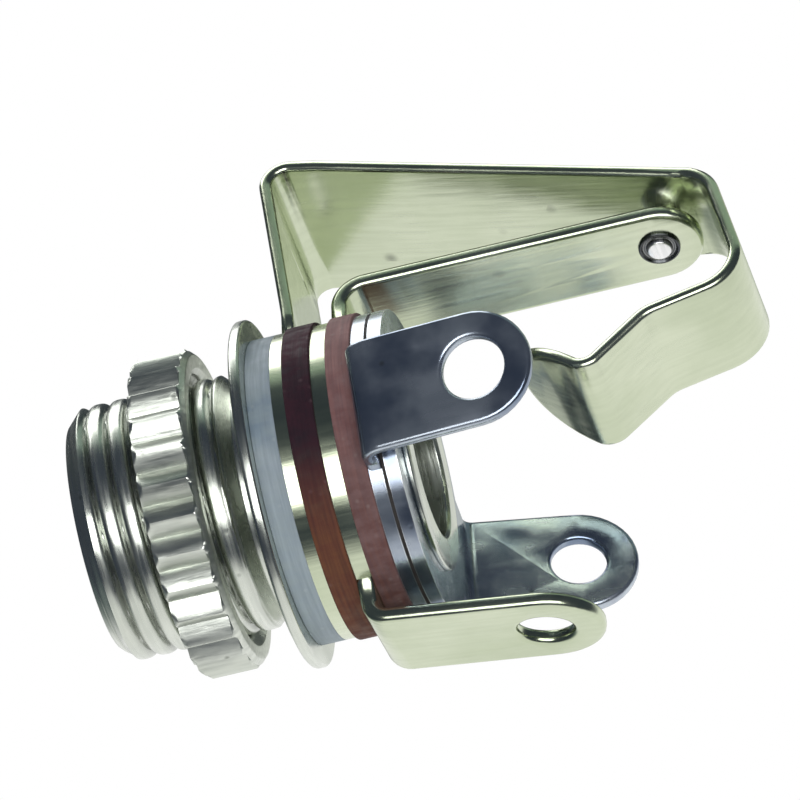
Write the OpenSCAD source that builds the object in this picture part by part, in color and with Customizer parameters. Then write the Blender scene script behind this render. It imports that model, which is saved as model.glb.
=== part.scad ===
// Panel socket for a 3.5 mm mono phone plug, open frame, with a switch contact and three solder lugs.
// X runs along the bore, from the plug side at minus X to the rear. The springs rise along plus Z.
// The origin is on the bore's axis, at the front face of the flange, where the panel bears.

/* [Threaded bushing] */
// Outer diameter of the thread
thread_d = 6.0; // [5.5:0.1:8]
// Pitch of the thread, whose turns are drawn as level grooves
thread_pitch = 0.5; // [0.4:0.05:0.8]
// Depth of the thread
thread_depth = 0.26; // [0.15:0.01:0.35]
// Length of the threaded barrel ahead of the flange
barrel_len = 4.3; // [4:0.1:9]
// Diameter of the bore for the plug
bore_d = 3.6; // [3.3:0.05:3.8]
// Chamfer at the mouth of the bore
mouth_chamfer = 0.3; // [0.1:0.05:0.5]
// Chamfer round the front of the barrel
barrel_chamfer = 0.35; // [0.1:0.05:0.6]
// Length of the plain relief between thread and flange
relief_len = 0.33; // [0.2:0.01:0.8]
// Depth of that relief
relief_depth = 0.3; // [0.1:0.05:0.4]
// Diameter of the flange that bears on the panel
flange_d = 8.25; // [7.8:0.05:12]
// Thickness of the flange
flange_t = 0.27; // [0.15:0.01:0.6]
// Wall of the tail that holds the stack
tail_wall = 0.5; // [0.35:0.05:0.6]
// How far the rolled lip reaches over the last lug plate
lip_reach = 0.3; // [0.15:0.05:0.5]
// Thickness of the rolled lip
lip_t = 0.16; // [0.12:0.01:0.3]

/* [Knurled nut] */
// Wall of the nut, from the thread to the crests of the knurl
nut_wall = 0.8; // [0.6:0.05:2]
// Thickness of the nut
nut_t = 1.38; // [1:0.02:3]
// Free thread between the nut and the flange
nut_stand_off = 1.15; // [0.5:0.05:1.7]
// Number of knurl teeth
knurl_count = 28; // [20:1:36]
// Depth of the knurl
knurl_depth = 0.28; // [0.1:0.02:0.34]
// Chamfer round the front end of the nut
nut_front_chamfer = 0.12; // [0.06:0.02:0.3]
// Chamfer round the rear end of the nut
nut_rear_chamfer = 0.18; // [0.1:0.02:0.4]

/* [Insulated stack] */
// Diameter of the front and rear fibre washers
stack_d = 7.4; // [6.8:0.1:9]
// How much smaller the front insulator and the metal rings are in radius
ring_inset = 0.08; // [0:0.01:0.3]
// Thickness of the front insulator, between flange and tip spring
front_insulator_t = 0.6; // [0.4:0.02:1]
// Thickness of the front fibre washer
front_fibre_t = 0.66; // [0.4:0.02:1.5]
// Thickness of the rear fibre washer
rear_fibre_t = 0.6; // [0.3:0.02:1.2]
// Thickness of the thin insulator between the two rear lugs
thin_t = 0.08; // [0.05:0.01:0.2]
// Wall of the insulating sleeve on the tail
sleeve_wall = 0.23; // [0.15:0.01:0.3]
// Wall of the tube that joins the tip spring to its lug
link_wall = 0.2; // [0.15:0.01:0.3]
// Air between that tube and the switch plate
switch_air = 0.2; // [0.1:0.01:0.3]

/* [Tip spring] */
// Thickness of the spring strip
spring_t = 0.3; // [0.2:0.02:0.4]
// Width of the riser
riser_w = 4.2; // [3:0.1:4.8]
// Width of the window in the riser
window_w = 1.5; // [0.8:0.1:2]
// Height of the window's lower edge above the axis
window_low = 5.2; // [5:0.1:6]
// Height of the window's upper edge above the axis
window_high = 7.3; // [6.6:0.1:7.6]
// Width of the strip at the contact
contact_w = 2.8; // [2:0.1:3.4]
// Height of the top bend above the axis
spring_rise = 8.7; // [8:0.1:10]
// How far the riser leans forward at the top
riser_lean = 0.36; // [0:0.02:0.45]
// How far the top run drops towards its end
top_drop = 2.82; // [2.4:0.05:3]
// Distance from the flange to the rear top bend
top_reach = 11.04; // [10.4:0.02:12.4]
// How much further back the rear wall of the hook stands
hook_bulge = 0.7; // [0.3:0.05:1]
// Height of the lower rear bend above the axis
hook_z = 2.39; // [2.1:0.05:2.6]
// Distance from the flange to the contact vertex
vertex_x = 7.79; // [7.4:0.01:8.2]
// Height of the contact vertex above the axis
vertex_z = 0.48; // [0.3:0.02:0.8]
// Distance from the vertex to the kink behind it, along X
kink_dx = 1.51; // [1.2:0.05:1.8]
// Height of the kink above the vertex
kink_dz = 1.34; // [1.1:0.02:1.5]
// Length of the tail ahead of the vertex, along X
tail_dx = 1.75; // [1.5:0.05:2]
// Rise of the tail
tail_dz = 1.59; // [1.3:0.05:1.8]

/* [Switch blade] */
// Thickness of the blade
blade_t = 0.38; // [0.2:0.02:0.4]
// Width of the blade
blade_w = 2.1; // [1.6:0.1:2.6]
// Height of the blade's middle above the axis
blade_z = 5.32; // [5:0.05:5.6]
// How far the blade's tip stops short of the rear top bend
blade_end_gap = 0.47; // [0.4:0.01:1]
// Diameter of the contact rivet's head
contact_d = 1.1; // [0.8:0.05:1.3]
// Diameter of the rivet's shank
shank_d = 0.56; // [0.4:0.02:0.7]
// Air between the rivet and the tip spring
contact_air = 0.06; // [0.04:0.01:0.15]

/* [Solder lugs] */
// Thickness of the lug plates
lug_t = 0.32; // [0.25:0.01:0.5]
// Width of a lug
lug_w = 2.8; // [2.4:0.1:3.2]
// Distance from the axis to the middle of a lug at its fold
fold_r = 4.3; // [4.2:0.05:5]
// Distance from the flange to the centre of the hole in the tip and switch lugs
hole_x = 5.82; // [5.4:0.02:7]
// The same distance for the sleeve lug
sleeve_hole_x = 5.97; // [5.4:0.01:7]
// Diameter of the wire hole in the tip lug
tip_hole_d = 1.5; // [1:0.1:1.8]
// Diameter of the wire hole in the other two lugs
wire_hole_d = 1.3; // [1:0.1:1.8]
// Angle of the tip lug about the axis
tip_lug_angle = 202; // [195:1:210]
// Angle of the switch lug about the axis
switch_lug_angle = 288; // [280:1:295]
// Angle of the sleeve lug about the axis
sleeve_lug_angle = 366; // [358:1:372]
// Outward splay of the tip lug
tip_lug_splay = 4; // [0:1:15]
// Outward splay of the switch lug
switch_lug_splay = 8; // [0:1:15]
// Outward splay of the sleeve lug
sleeve_lug_splay = 14; // [0:1:20]

/* [Fits] */
// Radial gap between pieces that are pushed together
push_gap = 0.02; // [0.01:0.01:0.05]
// Radial gap between the nut and the thread
thread_gap = 0.03; // [0.02:0.01:0.06]

/* [Hidden] */
$fn = 96;
nickel = [0.80, 0.81, 0.74];
dark_nickel = [0.33, 0.37, 0.44];
grey_fibre = [0.45, 0.50, 0.54];
maroon = [0.38, 0.14, 0.17];
pink_fibre = [0.55, 0.40, 0.38];
silver = [0.88, 0.89, 0.90];
dark_film = [0.20, 0.19, 0.20];

// Radii, from the bore outwards
bore_r = bore_d / 2;
tail_r = bore_r + tail_wall;
sleeve_in_r = tail_r + push_gap;
sleeve_out_r = sleeve_in_r + sleeve_wall;
link_in_r = sleeve_out_r + push_gap;
link_out_r = link_in_r + link_wall;
stack_hole_r = link_out_r + push_gap;
switch_hole_r = link_out_r + switch_air;
stack_r = stack_d / 2;
nut_r = thread_d / 2 + nut_wall;
nut_lead = 0.27;
ring_r = stack_r - ring_inset;

// Thread: where it starts, how many grooves fit, and one groove as [depth, distance along]
thread_x = -barrel_len + barrel_chamfer;
thread_turns = floor((-thread_x - relief_len - relief_depth) / thread_pitch);
thread_crest = thread_pitch / 5;
thread_groove = [[0, thread_crest / 2], [thread_depth, thread_pitch / 2],
                 [0, thread_pitch - thread_crest / 2]];
bushing_facets = 64;

// Faces of the stack, from the flange backwards
front_insulator_x = flange_t;
tip_plate_x = front_insulator_x + front_insulator_t;
front_fibre_x = tip_plate_x + spring_t;
switch_plate_x = front_fibre_x + front_fibre_t;
rear_fibre_x = switch_plate_x + blade_t;
tip_lug_x = rear_fibre_x + rear_fibre_t;
lug_insulator_x = tip_lug_x + lug_t;
sleeve_lug_x = lug_insulator_x + thin_t;
lip_x = sleeve_lug_x + lug_t;
tail_end_x = lip_x + lip_t;

// Middle line of the tip spring, from the stack to the end of its tail
riser_foot = [tip_plate_x + spring_t / 2, stack_hole_r + 0.2];
riser_neck = [riser_foot[0], ring_r + 0.16];
taper_x = tip_plate_x + 1.05;
taper_end = 0.6;
window_r = 0.3;
riser_top = [riser_foot[0] - riser_lean, spring_rise];
rear_top = [top_reach, spring_rise - top_drop];
rear_low = [top_reach + hook_bulge, hook_z];
rear_mid = (rear_top + rear_low) / 2;
vertex = [vertex_x, vertex_z];
kink = vertex + [kink_dx, kink_dz];
tail_tip = vertex + [-tail_dx, tail_dz];
neck_r = 3;
riser_bend_r = 0.5;
rear_bend_r = 0.95;
hook_bend_r = 1.05;
bend_step = 7.5;
kink_r = 0.8;
vertex_r = 0.4;

// Middle line of the switch blade
blade_reach = top_reach - blade_end_gap;
blade_foot = [switch_plate_x + blade_t / 2, switch_hole_r + 0.2];
blade_corner = [blade_foot[0], blade_z];
blade_bend_r = 0.65;
rivet_x = blade_reach - blade_w / 2;
top_slope = (rear_top[1] - riser_top[1]) / (rear_top[0] - riser_top[0]);
top_under_z = riser_top[1] + top_slope * (rivet_x - riser_top[0])
    - spring_t / 2 * sqrt(1 + top_slope * top_slope);

// Direction in degrees from one point to the next
function heading(a, b) = atan2(b[1] - a[1], b[0] - a[0]);

// Turn at corner i of a path, left turns positive, between -180 and 180
function turn(path, i) =
    let (d = heading(path[i], path[i + 1]) - heading(path[i - 1], path[i]))
    d > 180 ? d - 360 : (d < -180 ? d + 360 : d);

// Turns a shape drawn about Z so that it lies about the bore's axis
module about_bore() {
    rotate([0, 90, 0])
        children();
}

// Ring about the bore's axis
module ring(x, t, outer_r, inner_r) {
    translate([x, 0, 0])
        about_bore()
            linear_extrude(t)
                difference() {
                    circle(r = outer_r);
                    circle(r = inner_r);
                }
}

// Points along one bend, at a signed distance from the middle line
function bend_points(corner, arriving, turned, r, off) =
    let (side = turned > 0 ? 1 : -1,
         steps = max(1, ceil(abs(turned) / bend_step)),
         back = r * tan(abs(turned) / 2),
         start = corner - back * [cos(arriving), sin(arriving)],
         centre = start + side * r * [-sin(arriving), cos(arriving)])
    [for (k = [0 : steps])
        let (h = arriving + turned * k / steps)
        centre + (side * r - off) * [sin(h), -cos(h)]];

// One edge of a bent strip: straight runs with a round bend at each inner corner
function strip_edge(path, radii, off) =
    let (last = len(path) - 1)
    [for (i = [0 : last])
        let (h = heading(path[max(i, 1) - 1], path[max(i, 1)]))
        each (i == 0 || i == last) ? [path[i] + off * [-sin(h), cos(h)]]
            : bend_points(path[i], h, turn(path, i), radii[i], off)];

// Side view of a bent strip of thickness t along a path
module strip_side(path, radii, t) {
    near_edge = strip_edge(path, radii, -t / 2);
    far_edge = strip_edge(path, radii, t / 2);
    polygon(concat(near_edge, [for (i = [len(far_edge) - 1 : -1 : 0]) far_edge[i]]));
}

// Stands a side view up in the X-Z plane, w wide along Y
module across(w) {
    rotate([90, 0, 0])
        linear_extrude(w, center = true)
            children();
}

// Solder lug folded back from its plate, drawn with its outward direction along Z
module lug(plate_x, t, splay, end_x, hole_d) {
    fold_bend_r = t / 2 + 0.25;
    foot = [plate_x + t / 2, stack_hole_r + 0.5];
    corner = [foot[0], fold_r];
    folded = 90 - splay;
    tab_start = fold_bend_r * tan(folded / 2);
    tab_len = (end_x - corner[0]) / cos(splay);
    bend_end = corner + (tab_start + 0.001) * [cos(splay), sin(splay)];
    across(lug_w)
        strip_side([foot, corner, bend_end], [0, fold_bend_r, 0], t);
    translate([corner[0], 0, corner[1]])
        rotate([0, -splay, 0])
            translate([0, 0, -t / 2])
                linear_extrude(t)
                    difference() {
                        union() {
                            translate([tab_start, -lug_w / 2])
                                square([tab_len - tab_start, lug_w]);
                            translate([tab_len, 0])
                                circle(r = lug_w / 2);
                        }
                        translate([tab_len, 0])
                            circle(d = hole_d);
                    }
}

// Places a lug at an angle about the bore's axis, measured from plus Y towards plus Z
module at_angle(angle) {
    rotate([angle - 90, 0, 0])
        children();
}

module threaded_bushing() {
    color(nickel)
        about_bore()
            rotate_extrude($fn = bushing_facets)
                polygon([
                    [bore_r + mouth_chamfer, -barrel_len],
                    [thread_d / 2 - barrel_chamfer, -barrel_len],
                    [thread_d / 2, thread_x],
                    for (k = [0 : thread_turns - 1], p = thread_groove)
                        [thread_d / 2 - p[0], thread_x + k * thread_pitch + p[1]],
                    [thread_d / 2, -relief_len - relief_depth],
                    [thread_d / 2 - relief_depth, -relief_len],
                    [thread_d / 2 - relief_depth, 0],
                    [flange_d / 2, 0],
                    [flange_d / 2, flange_t],
                    [tail_r, flange_t],
                    [tail_r, lip_x],
                    [tail_r + lip_reach, lip_x],
                    [tail_r + lip_reach, lip_x + lip_t / 2],
                    [tail_r + lip_reach - lip_t / 2, tail_end_x],
                    [bore_r + lip_t / 2, tail_end_x],
                    [bore_r, tail_end_x - lip_t / 2],
                    [bore_r, -barrel_len + mouth_chamfer]
                ]);
}

module knurled_nut() {
    pitch = 360 / knurl_count;
    flank = nut_r * sin(pitch / 2) * 0.86;
    hole_r = thread_d / 2 + thread_gap;
    color(nickel)
        translate([-nut_stand_off - nut_t, 0, 0])
            about_bore()
                difference() {
                    intersection() {
                        linear_extrude(nut_t)
                            difference() {
                                circle(r = nut_r);
                                for (i = [0 : knurl_count - 1])
                                    rotate(i * pitch)
                                        polygon([[nut_r - knurl_depth, 0], [nut_r + 0.1, flank],
                                                 [nut_r + 0.1, -flank]]);
                            }
                        rotate_extrude()
                            polygon([[0, 0], [nut_r - nut_front_chamfer, 0], [nut_r, nut_front_chamfer],
                                     [nut_r, nut_t - nut_rear_chamfer], [nut_r - nut_rear_chamfer, nut_t],
                                     [0, nut_t]]);
                    }
                    rotate_extrude()
                        polygon([[0, -1], [hole_r + nut_lead, -1], [hole_r + nut_lead, 0],
                                 [hole_r, nut_lead], [hole_r, nut_t - nut_lead],
                                 [hole_r + nut_lead, nut_t], [hole_r + nut_lead, nut_t + 1],
                                 [0, nut_t + 1]]);
                }
}

module front_insulator() {
    color(grey_fibre)
        ring(front_insulator_x, front_insulator_t, ring_r, sleeve_in_r);
}

// Plan shape that the spring strip is cut to: wide riser, tapered top run, narrow hook, round tail
module spring_plan() {
    split_z = rear_mid[1];
    ahead_x = riser_top[0] - 2;
    behind_x = rear_low[0] + 1;
    translate([0, 0, split_z])
        linear_extrude(spring_rise)
            polygon([[ahead_x, -riser_w / 2], [taper_x, -riser_w / 2],
                     [rear_top[0] - taper_end, -contact_w / 2], [behind_x, -contact_w / 2],
                     [behind_x, contact_w / 2], [rear_top[0] - taper_end, contact_w / 2],
                     [taper_x, riser_w / 2], [ahead_x, riser_w / 2]]);
    translate([ahead_x, -riser_w / 2, 0])
        cube([taper_x - ahead_x, riser_w, split_z + 0.5]);
    linear_extrude(split_z + 0.2) {
        translate([tail_tip[0] + contact_w / 2, 0])
            circle(d = contact_w);
        translate([tail_tip[0] + contact_w / 2, -contact_w / 2])
            square([top_reach, contact_w]);
    }
}

// Window through the riser, with round corners
module riser_window() {
    translate([riser_top[0] - 1, 0, 0])
        about_bore()
            linear_extrude(taper_x - riser_top[0])
                difference() {
                    translate([-window_high, -window_w / 2])
                        square([window_high - window_low, window_w]);
                    for (z = [window_low, window_high], y = [-1, 1] * window_w / 2)
                        window_corner(-z, y);
                }
}

// What a round corner leaves standing of the window's square corner
module window_corner(h, y) {
    in_h = h < -(window_low + window_high) / 2 ? 1 : -1;
    in_y = y < 0 ? 1 : -1;
    difference() {
        translate([h + in_h * window_r / 2, y + in_y * window_r / 2])
            square(window_r, center = true);
        translate([h + in_h * window_r, y + in_y * window_r])
            circle(r = window_r);
    }
}

module tip_spring() {
    color(nickel) {
        ring(tip_plate_x, spring_t, ring_r, stack_hole_r);
        difference() {
            intersection() {
                across(riser_w + 1)
                    strip_side([riser_foot, riser_neck, riser_top, rear_top, rear_low, kink, vertex,
                                tail_tip],
                               [0, neck_r, riser_bend_r, rear_bend_r, hook_bend_r, kink_r, vertex_r, 0],
                               spring_t);
                spring_plan();
            }
            riser_window();
        }
    }
}

module front_fibre_washer() {
    color(maroon)
        ring(front_fibre_x, front_fibre_t, stack_r, stack_hole_r);
}

module switch_blade() {
    color(nickel) {
        ring(switch_plate_x, blade_t, ring_r, switch_hole_r);
        at_angle(switch_lug_angle)
            lug(switch_plate_x, blade_t, switch_lug_splay, hole_x, wire_hole_d);
        difference() {
            intersection() {
                across(blade_w)
                    strip_side([blade_foot, blade_corner, [blade_reach, blade_z]], [0, blade_bend_r, 0],
                               blade_t);
                linear_extrude(2 * blade_z) {
                    translate([rivet_x, 0])
                        circle(d = blade_w);
                    translate([0, -blade_w / 2])
                        square([rivet_x, blade_w]);
                }
            }
            translate([rivet_x, 0, blade_z - blade_t])
                cylinder(d = shank_d + 2 * push_gap, h = 2 * blade_t);
        }
    }
}

module switch_contact() {
    over = blade_z + blade_t / 2;
    head_top = top_under_z - contact_air;
    head_r = contact_d / 2;
    crown = 0.12;
    color(silver)
        translate([rivet_x, 0, 0])
            rotate_extrude()
                polygon([[0.14, over - blade_t - 0.02], [0.2, over - blade_t - 0.16],
                         [head_r - 0.14, over - blade_t - 0.14], [head_r - 0.06, over - blade_t - 0.07],
                         [head_r - 0.06, over - blade_t], [shank_d / 2, over - blade_t],
                         [shank_d / 2, over], [head_r, over], [head_r, head_top - crown - 0.1],
                         [head_r - 0.12, head_top - crown], [head_r - 0.3, head_top - 0.05], [0, head_top],
                         [0, over - blade_t - 0.02]]);
}

module rear_fibre_washer() {
    color(pink_fibre)
        ring(rear_fibre_x, rear_fibre_t, stack_r, stack_hole_r);
}

module tip_lug() {
    color(dark_nickel) {
        ring(tip_lug_x, lug_t, ring_r, stack_hole_r);
        at_angle(tip_lug_angle)
            lug(tip_lug_x, lug_t, tip_lug_splay, hole_x, tip_hole_d);
    }
}

module lug_insulator() {
    color(dark_film)
        ring(lug_insulator_x, thin_t, stack_r - 0.1, sleeve_in_r);
}

module sleeve_lug() {
    color(dark_nickel) {
        ring(sleeve_lug_x, lug_t, ring_r, tail_r + push_gap);
        at_angle(sleeve_lug_angle)
            lug(sleeve_lug_x, lug_t, sleeve_lug_splay, sleeve_hole_x, wire_hole_d);
    }
}

module insulating_sleeve() {
    color(dark_film)
        ring(tip_plate_x, lug_insulator_x - tip_plate_x, sleeve_out_r, sleeve_in_r);
}

module tip_link_tube() {
    color(nickel)
        ring(tip_plate_x, lug_insulator_x - tip_plate_x, link_out_r, link_in_r);
}

threaded_bushing();
knurled_nut();
front_insulator();
tip_spring();
front_fibre_washer();
switch_blade();
switch_contact();
rear_fibre_washer();
tip_lug();
lug_insulator();
sleeve_lug();
insulating_sleeve();
tip_link_tube();
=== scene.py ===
import math
import bmesh
import bpy
from mathutils import Matrix, Vector


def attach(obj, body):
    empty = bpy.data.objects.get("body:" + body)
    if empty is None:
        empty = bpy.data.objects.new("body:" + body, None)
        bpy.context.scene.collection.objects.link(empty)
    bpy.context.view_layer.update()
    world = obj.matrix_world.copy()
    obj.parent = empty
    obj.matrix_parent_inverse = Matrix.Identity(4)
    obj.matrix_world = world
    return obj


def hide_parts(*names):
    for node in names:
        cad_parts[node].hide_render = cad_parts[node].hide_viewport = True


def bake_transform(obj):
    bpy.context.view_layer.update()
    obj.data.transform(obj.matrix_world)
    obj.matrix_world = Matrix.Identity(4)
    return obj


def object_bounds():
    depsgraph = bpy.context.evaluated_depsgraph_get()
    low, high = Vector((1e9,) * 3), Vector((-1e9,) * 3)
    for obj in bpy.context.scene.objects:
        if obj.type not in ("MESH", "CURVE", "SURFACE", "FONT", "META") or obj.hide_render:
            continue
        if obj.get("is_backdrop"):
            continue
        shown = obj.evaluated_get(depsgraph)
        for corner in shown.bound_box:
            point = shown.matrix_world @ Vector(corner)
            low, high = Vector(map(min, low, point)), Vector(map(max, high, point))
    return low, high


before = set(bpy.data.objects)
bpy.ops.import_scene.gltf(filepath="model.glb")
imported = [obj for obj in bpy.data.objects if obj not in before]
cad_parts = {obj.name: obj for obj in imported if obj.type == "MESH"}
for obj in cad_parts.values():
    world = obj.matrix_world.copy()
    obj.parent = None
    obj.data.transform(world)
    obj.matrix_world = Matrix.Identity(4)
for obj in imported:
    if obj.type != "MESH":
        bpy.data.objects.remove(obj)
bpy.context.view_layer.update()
mm = 0.001

# the photograph's view, and where the picture's middle falls on the part
view = {
    "azimuth": 12.6,
    "elevation": -45.0,
    "roll": 4.2,
    "acrossRight": 2.872,  # mm from the origin to the picture's middle, to the right
    "acrossUp": 2.2146,  # and upwards
    "frameWidth": 18.52,  # mm that the picture spans
    "distance": 600.0,  # mm, long, because the photograph shows hardly any perspective
    "sensor": 36.0,  # mm
    "clip": (0.001, 5.0),  # metres
}


def viewAxes(v):
    az, el, roll = (math.radians(v[k]) for k in ("azimuth", "elevation", "roll"))
    towards = Vector((math.sin(az) * math.cos(el), -math.cos(az) * math.cos(el), math.sin(el)))
    level = Vector((math.cos(az), math.sin(az), 0))
    rise = towards.cross(level)
    across = math.cos(roll) * level - math.sin(roll) * rise
    return across, towards.cross(across), towards


right, up, back = viewAxes(view)


def makeCamera(v):
    middle = (right * v["acrossRight"] + up * v["acrossUp"]) * mm
    data = bpy.data.cameras.new("photoCamera")
    data.sensor_width = v["sensor"]
    data.lens = v["sensor"] * v["distance"] / v["frameWidth"]
    data.clip_start, data.clip_end = v["clip"]
    cam = bpy.data.objects.new("photoCamera", data)
    turn = Matrix((right, up, back)).transposed().to_4x4()
    turn.translation = middle + back * v["distance"] * mm
    cam.matrix_world = turn
    bpy.context.scene.collection.objects.link(cam)
    bpy.context.scene.camera = cam


makeCamera(view)
print("camera set")


def addNode(tree, kind, at=(0, 0), **values):
    n = tree.nodes.new(kind)
    n.location = at
    for name, value in values.items():
        setattr(n, name, value)
    return n


def feed(tree, socket, value):
    # a socket takes a link, or a plain value
    if isinstance(value, bpy.types.NodeSocket):
        tree.links.new(value, socket)
    elif value is not None:
        socket.default_value = value


def calc(tree, operation, a, b=None, at=(0, 0), clamp=False):
    n = addNode(tree, "ShaderNodeMath", at, operation=operation, use_clamp=clamp)
    feed(tree, n.inputs[0], a)
    feed(tree, n.inputs[1], b)
    return n.outputs[0]


def softStep(tree, value, low, high, at):
    # rises smoothly from 0 at low to 1 at high
    n = addNode(tree, "ShaderNodeMapRange", at, interpolation_type="SMOOTHSTEP")
    feed(tree, n.inputs["Value"], value)
    feed(tree, n.inputs["From Min"], low)
    feed(tree, n.inputs["From Max"], high)
    return n.outputs[0]


def stretchOver(tree, mask, low, high, at):
    # the mask's 0 to 1 becomes low to high
    n = addNode(tree, "ShaderNodeMapRange", at)
    feed(tree, n.inputs["Value"], mask)
    feed(tree, n.inputs["To Min"], low)
    feed(tree, n.inputs["To Max"], high)
    return n.outputs[0]


def mixColor(tree, share, a, b, at=(0, 0)):
    n = addNode(tree, "ShaderNodeMix", at, data_type="RGBA")
    feed(tree, n.inputs[0], share)
    feed(tree, n.inputs[6], a)
    feed(tree, n.inputs[7], b)
    return n.outputs[2]


def rgba(c):
    return (c[0], c[1], c[2], 1.0)


def openGroup(name, inputs, outputs):
    tree = bpy.data.node_groups.new(name, "ShaderNodeTree")
    for label, kind, value in inputs:
        s = tree.interface.new_socket(name=label, in_out="INPUT", socket_type=kind)
        s.default_value = value
    for label, kind in outputs:
        tree.interface.new_socket(name=label, in_out="OUTPUT", socket_type=kind)
    return tree, addNode(tree, "NodeGroupInput", (-900, 0)), addNode(tree, "NodeGroupOutput", (700, 0))


def makeStrokeGrain():
    # fine strokes, as rolling, turning or drawing leaves them: stretched noise
    tree, inn, out = openGroup("strokeGrain", [
        ("Place", "NodeSocketVector", (0, 0, 0)), ("Stretch", "NodeSocketVector", (1, 1, 1)),
        ("Detail", "NodeSocketFloat", 3.0), ("Low", "NodeSocketFloat", 0.3), ("High", "NodeSocketFloat", 0.7),
    ], [("Mask", "NodeSocketFloat"), ("Height", "NodeSocketFloat")])
    scaled = addNode(tree, "ShaderNodeVectorMath", (-650, 0), operation="MULTIPLY")
    feed(tree, scaled.inputs[0], inn.outputs["Place"])
    feed(tree, scaled.inputs[1], inn.outputs["Stretch"])
    noise = addNode(tree, "ShaderNodeTexNoise", (-400, 0))
    feed(tree, noise.inputs["Vector"], scaled.outputs[0])
    feed(tree, noise.inputs["Scale"], 1.0)
    feed(tree, noise.inputs["Detail"], inn.outputs["Detail"])
    spread = softStep(tree, noise.outputs["Fac"], inn.outputs["Low"], inn.outputs["High"], (-150, 0))
    feed(tree, out.inputs["Mask"], spread)
    feed(tree, out.inputs["Height"], noise.outputs["Fac"])
    return tree


def makeCloudTint():
    # slow change between two colours over the surface
    tree, inn, out = openGroup("cloudTint", [
        ("Place", "NodeSocketVector", (0, 0, 0)), ("Scale", "NodeSocketFloat", 400.0),
        ("Low", "NodeSocketColor", (0.5, 0.5, 0.5, 1)), ("High", "NodeSocketColor", (0.6, 0.6, 0.6, 1)),
        ("Soft", "NodeSocketFloat", 0.2)], [("Color", "NodeSocketColor"), ("Mask", "NodeSocketFloat")])
    noise = addNode(tree, "ShaderNodeTexNoise", (-650, 0))
    feed(tree, noise.inputs["Vector"], inn.outputs["Place"])
    feed(tree, noise.inputs["Scale"], inn.outputs["Scale"])
    feed(tree, noise.inputs["Detail"], 4.0)
    low = calc(tree, "SUBTRACT", 0.5, inn.outputs["Soft"], (-450, -200))
    high = calc(tree, "ADD", 0.5, inn.outputs["Soft"], (-450, -350))
    spread = softStep(tree, noise.outputs["Fac"], low, high, (-200, 0))
    feed(tree, out.inputs["Color"], mixColor(tree, spread, inn.outputs["Low"], inn.outputs["High"], (150, 0)))
    feed(tree, out.inputs["Mask"], spread)
    return tree


def makeEdgeRub():
    # where a rounded normal leaves the true one, an edge is near
    tree, inn, out = openGroup("edgeRub", [
        ("Reach", "NodeSocketFloat", 0.00006), ("Gain", "NodeSocketFloat", 3.0),
        ("Breakup", "NodeSocketFloat", 0.5)], [("Mask", "NodeSocketFloat")])
    soft = addNode(tree, "ShaderNodeBevel", (-650, 0), samples=6)
    feed(tree, soft.inputs["Radius"], inn.outputs["Reach"])
    true = addNode(tree, "ShaderNodeNewGeometry", (-650, -250))
    dot = addNode(tree, "ShaderNodeVectorMath", (-400, 0), operation="DOT_PRODUCT")
    feed(tree, dot.inputs[0], soft.outputs[0])
    feed(tree, dot.inputs[1], true.outputs["Normal"])
    away = calc(tree, "SUBTRACT", 1.0, dot.outputs["Value"], (-200, 0))
    gained = calc(tree, "MULTIPLY", away, inn.outputs["Gain"], (0, 0), clamp=True)
    less = calc(tree, "SUBTRACT", gained, inn.outputs["Breakup"], (200, 0), clamp=True)
    feed(tree, out.inputs["Mask"], less)
    return tree


def makeSpeckle():
    # scattered small marks: pits, dust and dark specks
    tree, inn, out = openGroup("speckle", [
        ("Place", "NodeSocketVector", (0, 0, 0)), ("Scale", "NodeSocketFloat", 4000.0),
        ("Share", "NodeSocketFloat", 0.1), ("Size", "NodeSocketFloat", 0.3)], [("Mask", "NodeSocketFloat")])
    cells = addNode(tree, "ShaderNodeTexVoronoi", (-650, 0))
    feed(tree, cells.inputs["Vector"], inn.outputs["Place"])
    feed(tree, cells.inputs["Scale"], inn.outputs["Scale"])
    near = softStep(tree, cells.outputs["Distance"], inn.outputs["Size"], 0.0, (-400, 100))
    parts = addNode(tree, "ShaderNodeSeparateColor", (-400, -150))
    feed(tree, parts.inputs[0], cells.outputs["Color"])
    chosen = calc(tree, "LESS_THAN", parts.outputs[0], inn.outputs["Share"], (-150, -150))
    feed(tree, out.inputs["Mask"], calc(tree, "MULTIPLY", near, chosen, (100, 0)))
    return tree


strokeGrain, cloudTint = makeStrokeGrain(), makeCloudTint()
edgeRub, speckle = makeEdgeRub(), makeSpeckle()


def useGroup(tree, group, at, **values):
    n = addNode(tree, "ShaderNodeGroup", at, node_tree=group)
    for label, value in values.items():
        feed(tree, n.inputs[label], value)
    return n


def startMaterial(name):
    mat = bpy.data.materials.new(name)
    mat.use_nodes = True
    tree = mat.node_tree
    tree.nodes.clear()
    out = addNode(tree, "ShaderNodeOutputMaterial", (900, 0))
    shader = addNode(tree, "ShaderNodeBsdfPrincipled", (600, 0))
    feed(tree, out.inputs["Surface"], shader.outputs[0])
    place = addNode(tree, "ShaderNodeTexCoord", (-1200, 0)).outputs["Object"]
    return mat, tree, shader, place


def layOver(tree, color, mask, share, over, at):
    # lays one colour over another where the mask is, at most by the share
    weight = calc(tree, "MULTIPLY", mask, share, (at[0] - 180, at[1] - 200))
    return mixColor(tree, weight, color, rgba(over), at)


def addHeights(tree, heights, at):
    # the sum of some masks, each times its own height in mm
    total = None
    for k, (mask, height) in enumerate(heights):
        part = calc(tree, "MULTIPLY", mask, height, (at[0], at[1] - 170 * k))
        total = part if total is None else calc(tree, "ADD", total, part, (at[0] + 180, at[1] - 170 * k))
    return total


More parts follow.
